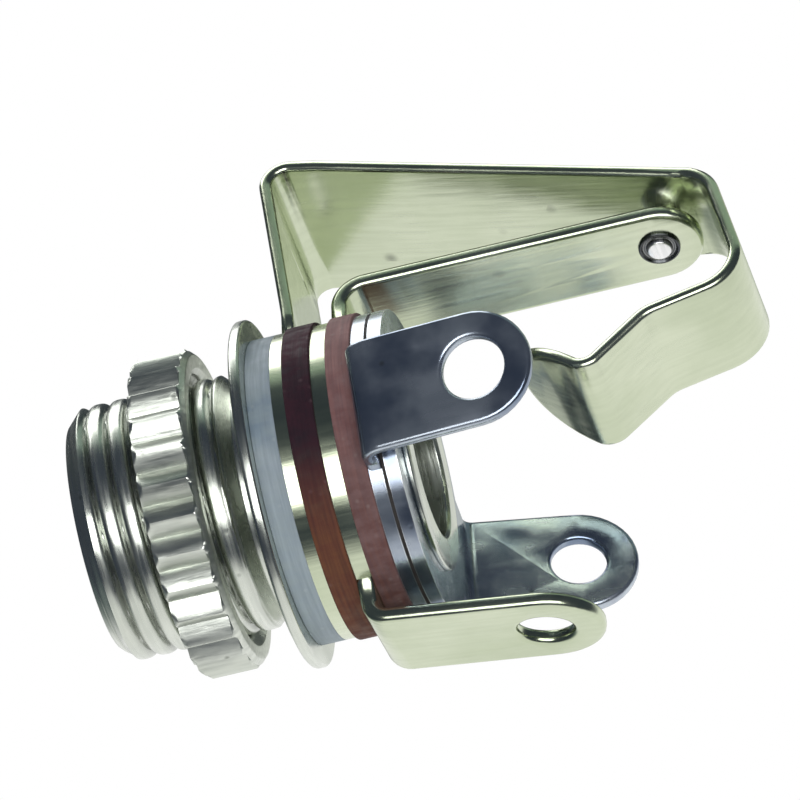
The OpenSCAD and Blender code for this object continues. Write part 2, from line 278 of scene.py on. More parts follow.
def setBump(tree, shader, height):
    bump = addNode(tree, "ShaderNodeBump", (400, -500))
    bump.inputs["Distance"].default_value = mm  # heights are in mm
    feed(tree, bump.inputs["Height"], height)
    feed(tree, shader.inputs["Normal"], bump.outputs[0])


def makeMetal(name, v):
    mat, tree, shader, place = startMaterial(name)
    cloud = useGroup(tree, cloudTint, (-800, 300), Place=place, Scale=v["cloudScale"],
                     Low=rgba(v["low"]), High=rgba(v["high"]), Soft=v["cloudSoft"])
    grain = useGroup(tree, strokeGrain, (-800, 0), Place=place, Stretch=v["stretch"])
    specks = useGroup(tree, speckle, (-800, -300), Place=place, Scale=v["speckScale"],
                      Share=v["speckShare"], Size=v["speckSize"])
    rub = useGroup(tree, edgeRub, (-800, -550), Reach=v["edgeReach"] * mm, Gain=v["edgeGain"],
                   Breakup=v["edgeBreakup"])
    color = cloud.outputs["Color"]
    color = layOver(tree, color, grain.outputs["Mask"], v["grainTint"], v["grainColor"], (-300, 300))
    color = layOver(tree, color, specks.outputs["Mask"], v["speckDark"], v["speckColor"], (-100, 300))
    # grooves are painted darker by their depth: partly dirt, partly painted shade where light doesn't reach
    if v["groove"]:
        shadedGroove = addNode(tree, "ShaderNodeAttribute", (-800, -800), attribute_name="grooveDepth")
        color = layOver(tree, color, shadedGroove.outputs["Fac"], v["groove"], v["grooveColor"], (50, 450))
    color = layOver(tree, color, rub.outputs["Mask"], v["edgeShare"], v["edgeColor"], (200, 300))
    feed(tree, shader.inputs["Base Color"], color)
    shader.inputs["Metallic"].default_value = v["metallic"]
    rough = stretchOver(tree, grain.outputs["Mask"], *v["rough"], (100, -50))
    clouded = calc(tree, "MULTIPLY", cloud.outputs["Mask"], v["roughCloud"], (100, -350))
    feed(tree, shader.inputs["Roughness"], calc(tree, "ADD", rough, clouded, (300, -50)))
    dents = addNode(tree, "ShaderNodeTexNoise", (-800, -1000))
    feed(tree, dents.inputs["Vector"], place)
    feed(tree, dents.inputs["Scale"], v["dentScale"])
    feed(tree, dents.inputs["Detail"], 2.0)
    setBump(tree, shader, addHeights(tree, [
        (grain.outputs["Height"], v["grainHeight"]), (dents.outputs["Fac"], v["dentHeight"]),
        (specks.outputs["Mask"], -v["pitDepth"])], (-100, -600)))
    return mat


def makeFibre(name, v):
    # pressed fibre: layered across the axis, hairy on its turned edge, matt
    mat, tree, shader, place = startMaterial(name)
    cloud = useGroup(tree, cloudTint, (-800, 300), Place=place, Scale=v["cloudScale"],
                     Low=rgba(v["low"]), High=rgba(v["high"]), Soft=v["cloudSoft"])
    layers = useGroup(tree, strokeGrain, (-800, 0), Place=place, Stretch=v["stretch"])
    hairs = useGroup(tree, strokeGrain, (-800, -250), Place=place, Stretch=v["hairStretch"])
    dust = useGroup(tree, speckle, (-800, -500), Place=place, Scale=v["dustScale"],
                    Share=v["dustCells"], Size=v["dustSize"])
    split = addNode(tree, "ShaderNodeSeparateXYZ", (-1000, 600))
    feed(tree, split.inputs[0], place)
    # the lower side is painted in another colour: painted light and shade, lighter or darker by height
    lower = softStep(tree, split.outputs[2], v["lowSideLightingFrom"] * mm, v["lowSideLightingTo"] * mm, (-800, 600))
    color = mixColor(tree, lower, cloud.outputs["Color"], rgba(v["lowSideLighting"]), (-500, 400))
    color = layOver(tree, color, layers.outputs["Mask"], v["layerShare"], v["layerColor"], (-250, 300))
    color = layOver(tree, color, hairs.outputs["Mask"], v["hairShare"], v["hairColor"], (0, 300))
    color = layOver(tree, color, dust.outputs["Mask"], v["dustShare"], v["dustColor"], (250, 300))
    feed(tree, shader.inputs["Base Color"], color)
    rough = stretchOver(tree, hairs.outputs["Mask"], *v["rough"], (100, -50))
    feed(tree, shader.inputs["Roughness"], rough)
    shader.inputs["Specular IOR Level"].default_value = v["specular"]
    setBump(tree, shader, addHeights(tree, [
        (layers.outputs["Height"], v["layerHeight"]),
        (hairs.outputs["Height"], v["hairHeight"])], (-100, -600)))
    return mat


# every plated finish starts from these; scales are per metre, reaches and heights are in mm
plated = {
    "cloudScale": 350.0, "cloudSoft": 0.25, "low": (0.58, 0.61, 0.54), "high": (0.74, 0.77, 0.70),
    "stretch": (9000.0, 700.0, 700.0), "grainTint": 0.25, "grainColor": (0.42, 0.45, 0.41),
    "speckScale": 3500.0, "speckShare": 0.05, "speckSize": 0.35, "speckDark": 0.6,
    "speckColor": (0.12, 0.13, 0.11), "edgeReach": 0.05, "edgeGain": 3.0, "edgeBreakup": 0.15,
    "edgeShare": 0.4, "edgeColor": (0.93, 0.94, 0.9), "groove": 0.0, "metallic": 1.0,
    "rough": (0.10, 0.22), "roughCloud": 0.06, "dentScale": 900.0,
    "grainHeight": 0.003, "dentHeight": 0.014, "pitDepth": 0.004,
}
# the dark groove colours of the thread and knurl are dirt in the grooves together with painted shade there
turnedNickel = makeMetal("turnedNickel", {
    **plated, "groove": 0.6, "grooveColor": (0.10, 0.11, 0.10), "rough": (0.17, 0.30),
    "dentHeight": 0.02, "grainHeight": 0.007})
knurlNickel = makeMetal("knurlNickel", {
    **plated, "stretch": (900.0, 7000.0, 7000.0), "rough": (0.26, 0.40), "groove": 0.8,
    "grooveColor": (0.07, 0.08, 0.08), "grainHeight": 0.009, "dentHeight": 0.02, "dentScale": 1500.0})
stripNickel = makeMetal("stripNickel", {
    **plated, "low": (0.52, 0.58, 0.41), "high": (0.67, 0.72, 0.55), "stretch": (300.0, 8000.0, 2000.0),
    "grainTint": 0.13, "grainColor": (0.46, 0.52, 0.38), "rough": (0.15, 0.22), "roughCloud": 0.07,
    "speckScale": 1400.0, "speckShare": 0.03, "speckDark": 0.8, "edgeReach": 0.04, "edgeShare": 0.35,
    "dentScale": 450.0, "dentHeight": 0.02})
lugNickel = makeMetal("lugNickel", {
    **plated, "low": (0.20, 0.25, 0.34), "high": (0.58, 0.64, 0.70), "metallic": 0.88,
    "stretch": (600.0, 2500.0, 2500.0), "cloudScale": 420.0, "cloudSoft": 0.12,
    "grainTint": 0.3, "grainColor": (0.30, 0.33, 0.40), "rough": (0.12, 0.22), "roughCloud": 0.10,
    "edgeReach": 0.07, "edgeShare": 0.9, "edgeGain": 4.0, "edgeColor": (0.90, 0.92, 0.92),
    "dentHeight": 0.035, "dentScale": 350.0})
# its groove colour paints the ring round the button near black, as painted shade
silverButton = makeMetal("silverButton", {
    **plated, "low": (0.80, 0.81, 0.82), "high": (0.92, 0.92, 0.92), "rough": (0.16, 0.28),
    "grainTint": 0.1, "groove": 0.93, "grooveColor": (0.03, 0.035, 0.04)})

# every fibre starts from these; between two heights in mm it turns to a colour for its lower side, painted
# light and shade as the light falls there
fibreBase = {
    "cloudScale": 500.0, "cloudSoft": 0.16, "stretch": (12000.0, 600.0, 600.0),
    "hairStretch": (2500.0, 4000.0, 4000.0), "lowSideLightingFrom": -1.0, "lowSideLightingTo": -3.4,
    "dustScale": 5000.0, "dustCells": 0.12, "dustSize": 0.4, "dustShare": 0.25,
    "layerShare": 0.4, "hairShare": 0.25, "rough": (0.6, 0.85), "specular": 0.3,
    "layerHeight": 0.012, "hairHeight": 0.012,
}
maroonFibre = makeFibre("maroonFibre", {
    **fibreBase, "low": (0.020, 0.006, 0.014), "high": (0.060, 0.014, 0.026), "lowSideLighting": (0.170, 0.062, 0.026),
    "lowSideLightingFrom": -1.6, "lowSideLightingTo": -3.6, "layerColor": (0.012, 0.005, 0.012), "hairColor": (0.110, 0.035, 0.050),
    "hairShare": 0.2, "dustShare": 0.2, "dustColor": (0.25, 0.15, 0.16)})
pinkFibre = makeFibre("pinkFibre", {
    **fibreBase, "low": (0.22, 0.095, 0.090), "high": (0.40, 0.215, 0.200), "lowSideLighting": (0.16, 0.070, 0.060),
    "layerColor": (0.090, 0.055, 0.065), "hairColor": (0.36, 0.26, 0.26), "dustColor": (0.36, 0.30, 0.28)})
greyFibre = makeFibre("greyFibre", {
    **fibreBase, "low": (0.22, 0.29, 0.36), "high": (0.48, 0.55, 0.60), "lowSideLighting": (0.36, 0.43, 0.47),
    "layerColor": (0.17, 0.21, 0.25), "hairColor": (0.40, 0.46, 0.44), "dustColor": (0.55, 0.60, 0.58),
    "rough": (0.5, 0.75)})
darkFilm = makeFibre("darkFilm", {
    **fibreBase, "low": (0.020, 0.019, 0.022), "high": (0.045, 0.042, 0.045), "lowSideLighting": (0.040, 0.034, 0.030),
    "layerColor": (0.012, 0.012, 0.014), "hairColor": (0.09, 0.085, 0.08), "dustColor": (0.16, 0.15, 0.14),
    "dustShare": 0.35})
print("materials made")


def finishMesh(obj, sharpAngle):
    # smooth shading, with creases where the form turns by more than the angle in degrees
    obj.data.shade_smooth()
    obj.data.set_sharp_from_angle(angle=math.radians(sharpAngle))


def bakeModifier(obj, mod):
    # keeps what a modifier makes as a plain mesh, and takes the modifier off
    depsgraph = bpy.context.evaluated_depsgraph_get()
    mesh = bpy.data.meshes.new_from_object(obj.evaluated_get(depsgraph))
    obj.modifiers.remove(mod)
    old = obj.data
    obj.data = mesh
    mesh.name = obj.name
    bpy.data.meshes.remove(old)


def newObject(name, bm, material=None):
    if bm.calc_volume(signed=True) < 0:
        bmesh.ops.reverse_faces(bm, faces=bm.faces)
    mesh = bpy.data.meshes.new(name)
    bm.to_mesh(mesh)
    bm.free()
    obj = bpy.data.objects.new(name, mesh)
    bpy.context.scene.collection.objects.link(obj)
    if material:
        obj.data.materials.append(material)
    return obj


def roundLoop(corners, steps=4):
    # an outline with its corners rounded; each corner is (along, outwards, its radius), in mm
    loop = []
    for i, (px, py, r) in enumerate(corners):
        after = corners[(i + 1) % len(corners)]
        p, a, b = Vector((px, py)), Vector(corners[i - 1][:2]), Vector(after[:2])
        toA, toB = (a - p).normalized(), (b - p).normalized()
        half = toA.angle(toB) / 2
        if r <= 0 or half > math.radians(88):  # sharp, or all but straight
            loop.append(tuple(p))
            continue
        reach = r / math.tan(half)
        centre = p + (toA + toB).normalized() * (r / math.sin(half))
        start, end = p + toA * reach - centre, p + toB * reach - centre
        for k in range(steps + 1):
            arm = start.slerp(end, k / steps).normalized() * r
            loop.append(tuple(centre + arm))
    return loop


def fillLoop(loop, longest):
    # adds points so that no run is longer than asked; longest is a function of the run's middle
    full = []
    for i, p in enumerate(loop):
        q = loop[(i + 1) % len(loop)]
        full.append(p)
        gap = math.dist(p, q)
        parts = max(1, math.ceil(gap / longest((p[0] + q[0]) / 2, (p[1] + q[1]) / 2)))
        for k in range(1, parts):
            full.append((p[0] + (q[0] - p[0]) * k / parts, p[1] + (q[1] - p[1]) * k / parts))
    return full


def lathe(name, loop, segments, material=None):
    # turns a closed outline of (x, radius) in mm about the bore's axis
    bm = bmesh.new()
    rings = []
    for k in range(segments):
        a = 2 * math.pi * k / segments
        rings.append([bm.verts.new((x * mm, r * mm * math.cos(a), r * mm * math.sin(a))) for x, r in loop])
    n = len(loop)
    for k in range(segments):
        here, there = rings[k], rings[(k + 1) % segments]
        for i in range(n):
            bm.faces.new((here[i], here[(i + 1) % n], there[(i + 1) % n], there[i]))
    return newObject(name, bm, material)


# the plates in the stack, whose rims stay as the CAD has them
stack = {
    "radius": 3.73, "end": 4.0,  # mm, just outside the plates
    "rimTilt": 0.1,  # how far a rim's face may lean along the axis
    "rimStep": 0.02,  # mm that its corners may differ in radius
}
softEdge = {
    "sharpFrom": 40.0, "segments": 4,  # degrees, and the steps of a rounded edge
    "weld": 0.001, "cutWeld": 0.0005, "flatWithin": 0.6,  # mm, mm and degrees, for cleaning the mesh
    "shadeSharp": 32.0, "flatWeight": 90,
}


def inStack(p):
    return p.x < stack["end"] * mm and math.hypot(p.y, p.z) < stack["radius"] * mm


def roundRim(obj):
    # a plate's facetted rim and hole get the normals of a true round
    mesh = obj.data
    normals = [tuple(c.vector) for c in mesh.corner_normals]
    for face in mesh.polygons:
        spots = [mesh.vertices[i].co for i in face.vertices]
        radii = [math.hypot(p.y, p.z) for p in spots]
        tilted = abs(face.normal.x) > stack["rimTilt"] or max(radii) - min(radii) > stack["rimStep"] * mm
        if tilted or not all(map(inStack, spots)):
            continue
        centre = face.center
        side = 1 if face.normal.y * centre.y + face.normal.z * centre.z > 0 else -1
        for corner, p, r in zip(face.loop_indices, spots, radii):
            normals[corner] = (0, side * p.y / r, side * p.z / r)
    mesh.normals_split_custom_set(normals)


def softCopy(nodeName, name, material, bevel, cuts=()):
    # a node's own form, with its sheared edges rounded over beyond the stack
    v = softEdge
    bm = bmesh.new()
    bm.from_mesh(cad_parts[nodeName].data)
    bmesh.ops.remove_doubles(bm, verts=bm.verts, dist=v["weld"] * mm)
    bmesh.ops.dissolve_degenerate(bm, dist=v["weld"] * mm, edges=bm.edges)
    bmesh.ops.dissolve_limit(bm, angle_limit=math.radians(v["flatWithin"]), verts=bm.verts, edges=bm.edges)
    sharp = [e for e in bm.edges if len(e.link_faces) == 2 and not all(inStack(p.co) for p in e.verts)
             and e.calc_face_angle(0) > math.radians(v["sharpFrom"])]
    bmesh.ops.bevel(bm, geom=sharp, offset=bevel * mm, segments=v["segments"], profile=0.5, affect="EDGES",
                    clamp_overlap=False)
    for at, normal in cuts:
        geom = bm.verts[:] + bm.edges[:] + bm.faces[:]
        bmesh.ops.bisect_plane(bm, geom=geom, plane_co=Vector(at) * mm, plane_no=normal,
                               dist=v["cutWeld"] * mm)
    bmesh.ops.triangulate(bm, faces=[f for f in bm.faces if len(f.verts) > 4])
    obj = newObject(name, bm, material)
    finishMesh(obj, v["shadeSharp"])
    mod = obj.modifiers.new("flatFaces", "WEIGHTED_NORMAL")  # keeps the flats flat beside rounded edges
    mod.keep_sharp, mod.weight = True, v["flatWeight"]
    bakeModifier(obj, mod)
    roundRim(obj)
    return obj


def openGeometry(name, inputs):
    tree = bpy.data.node_groups.new(name, "GeometryNodeTree")
    tree.interface.new_socket(name="Geometry", in_out="INPUT", socket_type="NodeSocketGeometry")
    for label, kind, value in inputs:
        s = tree.interface.new_socket(name=label, in_out="INPUT", socket_type=kind)
        if value is not None:
            s.default_value = value
    tree.interface.new_socket(name="Geometry", in_out="OUTPUT", socket_type="NodeSocketGeometry")
    return tree, addNode(tree, "NodeGroupInput", (-1600, 0)), addNode(tree, "NodeGroupOutput", (1400, 0))


def polar(tree):
    # x along the axis, the radius and the turn about it, and the way outwards
    pos = addNode(tree, "GeometryNodeInputPosition", (-1400, -300))
    xyz = addNode(tree, "ShaderNodeSeparateXYZ", (-1250, -300))
    feed(tree, xyz.inputs[0], pos.outputs[0])
    x, y, z = xyz.outputs
    ySquare = calc(tree, "MULTIPLY", y, y, (-1100, -400))
    zSquare = calc(tree, "MULTIPLY", z, z, (-1100, -550))
    radius = calc(tree, "SQRT", calc(tree, "ADD", ySquare, zSquare, (-950, -450)), None, (-800, -450))
    turn = calc(tree, "DIVIDE", calc(tree, "ARCTAN2", z, y, (-1100, -700)), 2 * math.pi, (-950, -700))
    outward = addNode(tree, "ShaderNodeCombineXYZ", (-500, -300))
    feed(tree, outward.inputs[1], calc(tree, "DIVIDE", y, radius, (-650, -300)))
    feed(tree, outward.inputs[2], calc(tree, "DIVIDE", z, radius, (-650, -200)))
    return x, radius, turn, outward.outputs[0]


def window(tree, value, low, high, fade, at):
    # 1 between low and high, falling to 0 over the fade inside either end
    x, y = at
    rise = calc(tree, "SUBTRACT", value, low, (x, y))
    rise = calc(tree, "DIVIDE", rise, fade, (x + 150, y), clamp=True)
    fall = calc(tree, "SUBTRACT", high, value, (x, y - 150))
    fall = calc(tree, "DIVIDE", fall, fade, (x + 150, y - 150), clamp=True)
    return calc(tree, "MULTIPLY", rise, fall, (x + 300, y))


def wave(tree, value, at):
    # 1 at every whole number, falling straight to 0 halfway between
    x, y = at
    saw = calc(tree, "FRACT", value, None, (x, y))
    middle = calc(tree, "SUBTRACT", saw, 0.5, (x + 150, y))
    away = calc(tree, "ABSOLUTE", middle, None, (x + 300, y))
    return calc(tree, "MULTIPLY", away, 2.0, (x + 450, y))


def closeGeometry(tree, inn, out, outward, cut, depth):
    # moves the surface inwards by the cut, and keeps the depth for the material, which darkens the grooves
    # with it as dirt and painted shade
    shift = addNode(tree, "ShaderNodeVectorMath", (550, -300), operation="SCALE")
    feed(tree, shift.inputs[0], outward)
    feed(tree, shift.inputs["Scale"], calc(tree, "MULTIPLY", cut, -1.0, (400, -450)))
    keep = addNode(tree, "GeometryNodeStoreNamedAttribute", (450, 200), data_type="FLOAT", domain="POINT")
    keep.inputs["Name"].default_value = "grooveDepth"
    feed(tree, keep.inputs["Geometry"], inn.outputs["Geometry"])
    feed(tree, keep.inputs["Value"], depth)
    move = addNode(tree, "GeometryNodeSetPosition", (700, 0))
    feed(tree, move.inputs["Geometry"], keep.outputs["Geometry"])
    feed(tree, move.inputs["Offset"], shift.outputs[0])
    real = addNode(tree, "GeometryNodeRealizeInstances", (900, 0))
    feed(tree, real.inputs["Geometry"], move.outputs["Geometry"])
    paint = addNode(tree, "GeometryNodeSetMaterial", (1100, 0))
    feed(tree, paint.inputs["Geometry"], real.outputs["Geometry"])
    feed(tree, paint.inputs["Material"], inn.outputs["Material"])
    feed(tree, out.inputs["Geometry"], paint.outputs["Geometry"])


def makeThreadTree():
    # one screw groove, cut into the wall between two radii; sizes in metres
    tree, inn, out = openGeometry("screwThread", [
        ("Pitch", "NodeSocketFloat", 0.0005), ("Depth", "NodeSocketFloat", 0.0003),
        ("Start", "NodeSocketFloat", -0.004), ("End", "NodeSocketFloat", -0.001),
        ("Run Out", "NodeSocketFloat", 0.0003), ("Inner Wall", "NodeSocketFloat", 0.0028),
        ("Outer Wall", "NodeSocketFloat", 0.0032), ("Wall Fade", "NodeSocketFloat", 0.00001),
        ("Root", "NodeSocketFloat", 2.2), ("Material", "NodeSocketMaterial", None)])
    size = inn.outputs
    x, radius, turn, outward = polar(tree)
    turns = calc(tree, "DIVIDE", x, size["Pitch"], (-700, -900))
    along = calc(tree, "SUBTRACT", turns, turn, (-550, -900))
    root = calc(tree, "POWER", wave(tree, along, (-400, -900)), size["Root"], (200, -900))
    ends = window(tree, x, size["Start"], size["End"], size["Run Out"], (-400, -1250))
    wall = window(tree, radius, size["Inner Wall"], size["Outer Wall"], size["Wall Fade"], (-400, -1550))
    depth = calc(tree, "MULTIPLY", calc(tree, "MULTIPLY", root, ends, (200, -1200)), wall, (350, -1200))
    cut = calc(tree, "MULTIPLY", depth, size["Depth"], (350, -1000))
    closeGeometry(tree, inn, out, outward, cut, depth)
    return tree


def makeKnurlTree():
    # straight V grooves that bring the wall down to their own floor, ending in a plain rim at the rear
    tree, inn, out = openGeometry("knurlTeeth", [
        ("Teeth", "NodeSocketInt", 28), ("Depth", "NodeSocketFloat", 0.0003),
        ("Crest", "NodeSocketFloat", 0.0038), ("Rear", "NodeSocketFloat", -0.0013),
        ("Run Out", "NodeSocketFloat", 0.0001), ("Valley", "NodeSocketFloat", 1.2),
        ("Material", "NodeSocketMaterial", None)])
    size = inn.outputs
    x, radius, turn, outward = polar(tree)
    along = calc(tree, "MULTIPLY", turn, size["Teeth"], (-700, -900))
    valley = calc(tree, "POWER", wave(tree, along, (-550, -900)), size["Valley"], (100, -900))
    ahead = calc(tree, "SUBTRACT", size["Rear"], x, (-400, -1350))
    ahead = calc(tree, "DIVIDE", ahead, size["Run Out"], (-250, -1350), clamp=True)
    drop = calc(tree, "MULTIPLY", valley, ahead, (200, -1200))
    drop = calc(tree, "MULTIPLY", drop, size["Depth"], (350, -1200))
    ground = calc(tree, "SUBTRACT", size["Crest"], drop, (450, -1350))
    over = calc(tree, "SUBTRACT", radius, ground, (550, -1200))
    cut = calc(tree, "MAXIMUM", over, 0.0, (700, -1200))
    depth = calc(tree, "DIVIDE", cut, size["Depth"], (450, -800), clamp=True)
    closeGeometry(tree, inn, out, outward, cut, depth)
    return tree


screwThread, knurlTeeth = makeThreadTree(), makeKnurlTree()


def runTree(obj, tree, values):
    # lets the tree shape the mesh, then keeps the result as a plain mesh
    mod = obj.modifiers.new(tree.name, "NODES")
    mod.node_group = tree
    for item in tree.interface.items_tree:
        if item.item_type == "SOCKET" and item.in_out == "INPUT" and item.name in values:
            mod[item.identifier] = values[item.name]
    bakeModifier(obj, mod)


# the turned bushing: threaded barrel, flange, tail and rolled lip, in mm
bushing = {
    "front": -4.3, "thread": 3.0, "bore": 1.8, "mouth": 0.3, "chamfer": 0.35,
    "relief": 0.33, "reliefDepth": 0.3, "flange": 4.125, "flangeEnd": 0.27, "tail": 2.3,
    "lipStart": 3.53, "lipReach": 0.3, "lipEnd": 3.69, "lipBevel": 0.05, "lipFall": 0.12,
    "boreLead": 0.07, "boreLeadLength": 0.08,
    "pitch": 0.5, "threadDepth": 0.14, "rootSharpness": 3.0, "threadFrom": -4.2, "threadTo": -0.55,
    "threadRunOut": 0.3, "threadBelow": 0.05, "threadAbove": 0.1,  # how far the cut reaches past the wall
    "stepsPerPitch": 18, "plainStep": 0.6, "segments": 240, "sharpAngle": 40,
}


def makeBushing(v):
    neck, lipR = v["thread"] - v["reliefDepth"], v["tail"] + v["lipReach"]
    loop = roundLoop([
        (v["front"], v["bore"] + v["mouth"], 0.04), (v["front"], v["thread"] - v["chamfer"], 0.05),
        (v["front"] + v["chamfer"], v["thread"], 0.0), (-v["relief"] - v["reliefDepth"], v["thread"], 0.0),
        (-v["relief"], neck, 0.06), (0, neck, 0.05), (0, v["flange"], 0.09),
        (v["flangeEnd"], v["flange"], 0.07), (v["flangeEnd"], v["tail"], 0.03),
        (v["lipStart"], v["tail"], 0.02), (v["lipStart"], lipR, 0.03),
        (v["lipEnd"] - v["lipBevel"], lipR, 0.05), (v["lipEnd"], lipR - v["lipFall"], 0.04),
        (v["lipEnd"], v["bore"] + v["boreLead"], 0.05), (v["lipEnd"] - v["boreLeadLength"], v["bore"], 0.05),
        (v["front"] + v["mouth"], v["bore"], 0.06)])
    inner = neck - v["threadBelow"]

    def longest(x, r):
        threaded = r > inner and x < v["threadBelow"] - v["relief"]
        return v["pitch"] / v["stepsPerPitch"] if threaded else v["plainStep"]

    obj = lathe("bushingTurned", fillLoop(loop, longest), v["segments"])
    runTree(obj, screwThread, {
        "Pitch": v["pitch"] * mm, "Depth": v["threadDepth"] * mm, "Start": v["threadFrom"] * mm,
        "End": v["threadTo"] * mm, "Run Out": v["threadRunOut"] * mm, "Inner Wall": inner * mm,
        "Outer Wall": (v["thread"] + v["threadAbove"]) * mm, "Root": v["rootSharpness"],
        "Material": turnedNickel})
    finishMesh(obj, v["sharpAngle"])
    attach(obj, "socket")
    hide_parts("threaded_bushing")


makeBushing(bushing)
print("bushing made")


# the ring nut, knurled outside and threaded inside, in mm
nut = {
    "front": -2.53, "rear": -1.15, "outer": 3.8, "hole": 3.03, "lead": 0.27,
    "frontChamfer": 0.12, "rearChamfer": 0.18,
    "teeth": 28, "toothDepth": 0.3, "valley": 1.15, "rim": 0.1, "toothRunOut": 0.07,
    "threadDepth": -0.2,  # outwards, into the hole's wall
    "threadMargin": 0.1, "threadRunOut": 0.2, "threadWall": (2.9, 3.2), "threadRoot": 2.0,
    "holeStep": 0.04, "holeMargin": 0.1, "outerStep": 0.09, "segmentsPerTooth": 24, "sharpAngle": 40,
}


def makeNut(v):
    mouth = v["hole"] + v["lead"]
    loop = roundLoop([
        (v["front"], mouth, 0.03), (v["front"], v["outer"] - v["frontChamfer"], 0.04),
        (v["front"] + v["frontChamfer"], v["outer"], 0.03), (v["rear"] - v["rearChamfer"], v["outer"], 0.06),
        (v["rear"], v["outer"] - v["rearChamfer"], 0.05), (v["rear"], mouth, 0.03),
        (v["rear"] - v["lead"], v["hole"], 0.0), (v["front"] + v["lead"], v["hole"], 0.0)], 3)

    def longest(x, r):
        return v["holeStep"] if r < v["hole"] + v["holeMargin"] else v["outerStep"]

    obj = lathe("nutKnurled", fillLoop(loop, longest), v["teeth"] * v["segmentsPerTooth"])
    runTree(obj, knurlTeeth, {
        "Teeth": v["teeth"], "Depth": v["toothDepth"] * mm, "Crest": v["outer"] * mm,
        "Rear": (v["rear"] - v["rim"]) * mm, "Run Out": v["toothRunOut"] * mm, "Valley": v["valley"],
        "Material": knurlNickel})
    inner, outer = v["threadWall"]
    runTree(obj, screwThread, {
        "Pitch": bushing["pitch"] * mm, "Depth": v["threadDepth"] * mm,
        "Start": (v["front"] + v["threadMargin"]) * mm, "End": (v["rear"] - v["threadMargin"]) * mm,
        "Run Out": v["threadRunOut"] * mm, "Inner Wall": inner * mm, "Outer Wall": outer * mm,
        "Root": v["threadRoot"], "Material": knurlNickel})
    finishMesh(obj, v["sharpAngle"])
    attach(obj, "nut")
    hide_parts("knurled_nut")


makeNut(nut)
print("nut made")


# fibre rings, thin films and the link tube, each turned from a plain outline, in mm
ringMesh = {"segments": 180, "longest": 0.15, "sharpAngle": 40}
rings = {
    "fibreInsulator": {"node": "front_insulator", "slot": "grey_fibre", "material": greyFibre,
                       "from": 0.27, "to": 0.87, "inner": 2.32, "outer": 3.62, "corner": 0.03},
    "fibreFront": {"node": "front_fibre_washer", "slot": "maroon_fibre", "material": maroonFibre,
                   "from": 1.17, "to": 1.83, "inner": 2.79, "outer": 3.70, "corner": 0.03},
    "fibreRear": {"node": "rear_fibre_washer", "slot": "pink_fibre", "material": pinkFibre,
                  "from": 2.21, "to": 2.81, "inner": 2.79, "outer": 3.70, "corner": 0.03},
    "filmRear": {"node": "lug_insulator", "slot": "dark_film", "material": darkFilm,
                 "from": 3.13, "to": 3.21, "inner": 2.32, "outer": 3.60, "corner": 0.015},
    "filmSleeve": {"node": "insulating_sleeve", "slot": "dark_film", "material": darkFilm,
                   "from": 0.87, "to": 3.13, "inner": 2.32, "outer": 2.55, "corner": 0.03},
    "linkTube": {"node": "tip_link_tube", "slot": "bright_nickel", "material": turnedNickel,
                 "from": 0.87, "to": 3.13, "inner": 2.57, "outer": 2.77, "corner": 0.03},
}


def makeRing(name, v):
    corner = v["corner"]
    loop = roundLoop([(v["from"], v["inner"], corner), (v["from"], v["outer"], corner),
                      (v["to"], v["outer"], corner), (v["to"], v["inner"], corner)])
    loop = fillLoop(loop, lambda x, r: ringMesh["longest"])
    obj = lathe(name, loop, ringMesh["segments"], v["material"])
    finishMesh(obj, ringMesh["sharpAngle"])
    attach(obj, "socket")
    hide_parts(v["node"])


for ringName, ringValues in rings.items():
    makeRing(ringName, ringValues)
print("rings made")


# the bent strips that stand still, with the size of their rounded edges in mm
strips = {
    "bladeSwitch": {"node": "switch_blade", "slot": "spring_nickel", "material": stripNickel, "bevel": 0.14},
    "lugTip": {"node": "tip_lug", "slot": "slate_lug", "material": lugNickel, "bevel": 0.11},
    "lugSleeve": {"node": "sleeve_lug", "slot": "slate_lug", "material": lugNickel, "bevel": 0.11},
}


def makeStrip(name, v):
    obj = softCopy(v["node"], name, v["material"], v["bevel"])
    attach(obj, "socket")
    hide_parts(v["node"])


for stripName, stripValues in strips.items():
    makeStrip(stripName, stripValues)

# the tip spring, in mm
tipStrip = {
    "bevel": 0.13, "clampedTo": 3.9, "freeFrom": 8.4, "cutEvery": 0.3,
    # two slanting planes between which the riser would bend, so that the whole hook goes with the top run;
    # this script doesn't read them
    "bendStart": (1.17, 3.75), "bendEnd": (2.65, 5.23),
}


def makeTipSpring(v):
    # extra loops along the riser let it bend as the spring lifts
    heights, z = [], v["clampedTo"]
    while z < v["freeFrom"]:
        heights.append(((0, 0, z), (0, 0, 1)))
        z += v["cutEvery"]
    obj = softCopy("tip_spring", "springTip", stripNickel, v["bevel"], cuts=heights)
    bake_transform(obj)
    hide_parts("tip_spring")


makeTipSpring(tipStrip)
print("strips made")


# the contact rivet, in mm: a head above the blade, and a button in a ring below it, the ring painted dark as
# shade
rivet = {
    "under": 5.13, "over": 5.51,  # heights of its two shoulders
    "head": 0.55, "headSide": 0.22, "crownRise": 0.07, "crownIn": 0.17, "shank": 0.24,
    "button": 0.27, "buttonDrop": 0.14, "buttonDome": 0.01, "buttonFlare": 0.04,
    "tailRing": 0.49, "ringDrop": 0.08, "ringFall": 0.02, "ringTop": 0.05, "ringFoot": 0.1, "floorDrop": 0.01,
    "shadeMargin": 0.01, "shadeAbove": 0.02,
    "segments": 64, "longest": 0.1, "sharpAngle": 45,
}


